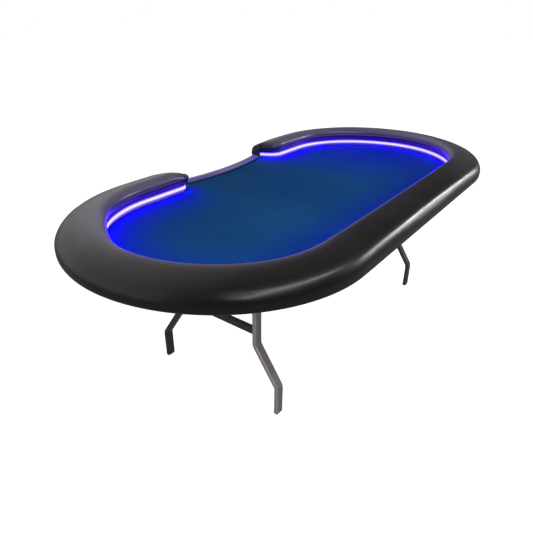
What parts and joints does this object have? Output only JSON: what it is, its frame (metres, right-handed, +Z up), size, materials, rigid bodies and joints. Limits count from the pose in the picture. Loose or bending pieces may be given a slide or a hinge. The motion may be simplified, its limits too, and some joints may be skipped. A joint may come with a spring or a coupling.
{
  "type": "poker table",
  "caption": "Stadium-shaped card table with a padded rail, a light strip round blue cloth, an open dealer's bay and folding bent-tube legs.",
  "frame": {"origin": "on the floor, midway between the four feet and under the middle of the tabletop", "axes": "+X along the table's length, +Y towards the dealer's bay, +Z up"},
  "size_m": [2.35, 1.18, 0.787],
  "materials": {
    "rail_vinyl": "black grained vinyl, soft satin",
    "speed_cloth": "short waterproof blue weave",
    "foam": "open cell foam",
    "plywood": "unfinished plywood",
    "black_steel": "dark powder coat, satin",
    "zinc_steel": "zinc plated",
    "aluminium": "extruded, satin",
    "light_tape": "white printed tape",
    "diffuser": "milky, lit violet-blue",
    "black_plastic": "moulded"
  },
  "bodies": {
    "tabletop": {"base_panel": "plywood", "play_board": "plywood", "cloth_foam": "foam", "speed_cloth": "speed_cloth", "rail_core": "plywood", "rail_riser": "plywood", "rail_foam": "foam", "rail_vinyl": "rail_vinyl", "rail_end_cover_left": "rail_vinyl", "rail_end_cover_right": "rail_vinyl", "dealer_edge_core": "plywood", "dealer_edge_vinyl": "rail_vinyl", "led_channel": "aluminium", "led_tape": "light_tape", "led_diffuser": "diffuser", "led_lead": "black_plastic", "led_controller_case": "black_plastic", "power_socket": "zinc_steel", "rail_bolt_front_left": "zinc_steel", "rail_bolt_front_right": "zinc_steel", "rail_bolt_back_left": "zinc_steel", "rail_bolt_back_right": "zinc_steel", "left_pivot_bracket": "black_steel", "left_stay_bracket": "black_steel", "left_stay_top_pin": "zinc_steel", "left_pivot_screw_1": "zinc_steel", "left_pivot_screw_2": "zinc_steel", "left_pivot_screw_3": "zinc_steel", "left_pivot_screw_4": "zinc_steel", "left_stay_screw_1": "zinc_steel", "left_stay_screw_2": "zinc_steel", "right_pivot_bracket": "black_steel", "right_stay_bracket": "black_steel", "right_stay_top_pin": "zinc_steel", "right_pivot_screw_1": "zinc_steel", "right_pivot_screw_2": "zinc_steel", "right_pivot_screw_3": "zinc_steel", "right_pivot_screw_4": "zinc_steel", "right_stay_screw_1": "zinc_steel", "right_stay_screw_2": "zinc_steel"},
    "left_leg_set": {"left_front_leg": "black_steel", "left_back_leg": "black_steel", "left_front_foot": "black_plastic", "left_back_foot": "black_plastic", "left_crossbar": "black_steel", "left_pivot_tube": "black_steel", "left_stay_foot_pin": "zinc_steel"},
    "left_stay_upper": {"left_upper_stay": "black_steel"},
    "left_stay_lower": {"left_lower_stay": "black_steel"},
    "right_leg_set": {"right_front_leg": "black_steel", "right_back_leg": "black_steel", "right_front_foot": "black_plastic", "right_back_foot": "black_plastic", "right_crossbar": "black_steel", "right_pivot_tube": "black_steel", "right_stay_foot_pin": "zinc_steel"},
    "right_stay_upper": {"right_upper_stay": "black_steel"},
    "right_stay_lower": {"right_lower_stay": "black_steel"},
    "power_switch": {"power_rocker": "black_plastic"}
  },
  "joints": [
    {"name": "left_leg_fold", "type": "hinge", "parent": "tabletop", "child": "left_leg_set", "pos_m": [-0.648, 0, 0.622], "axis": [0, -1, 0], "range_deg": [0, 90]},
    {"name": "left_upper_stay_turn", "type": "hinge", "parent": "tabletop", "child": "left_stay_upper", "pos_m": [-0.228, 0.003, 0.645], "axis": [0, 1, 0], "range_deg": [0, 35.56]},
    {"name": "left_lower_stay_turn", "type": "hinge", "parent": "left_leg_set", "child": "left_stay_lower", "pos_m": [-0.6275, -0.003, 0.349], "axis": [0, -1, 0], "range_deg": [0, 54.44]},
    {"name": "right_leg_fold", "type": "hinge", "parent": "tabletop", "child": "right_leg_set", "pos_m": [0.648, 0, 0.622], "axis": [0, 1, 0], "range_deg": [0, 90]},
    {"name": "right_upper_stay_turn", "type": "hinge", "parent": "tabletop", "child": "right_stay_upper", "pos_m": [0.228, -0.003, 0.645], "axis": [0, -1, 0], "range_deg": [0, 35.56]},
    {"name": "right_lower_stay_turn", "type": "hinge", "parent": "right_leg_set", "child": "right_stay_lower", "pos_m": [0.6275, 0.003, 0.349], "axis": [0, 1, 0], "range_deg": [0, 54.44]},
    {"name": "power_switch_tip", "type": "hinge", "parent": "tabletop", "child": "power_switch", "pos_m": [0.09, 0.454, 0.6457], "axis": [-1, 0, 0], "range_deg": [0, 16]}
  ],
  "couplings": [
    {"joint": "left_upper_stay_turn", "follows": "left_leg_fold", "ratio": 0.39512},
    {"joint": "left_lower_stay_turn", "follows": "left_leg_fold", "ratio": 0.60488},
    {"joint": "right_upper_stay_turn", "follows": "right_leg_fold", "ratio": 0.39512},
    {"joint": "right_lower_stay_turn", "follows": "right_leg_fold", "ratio": 0.60488}
  ]
}
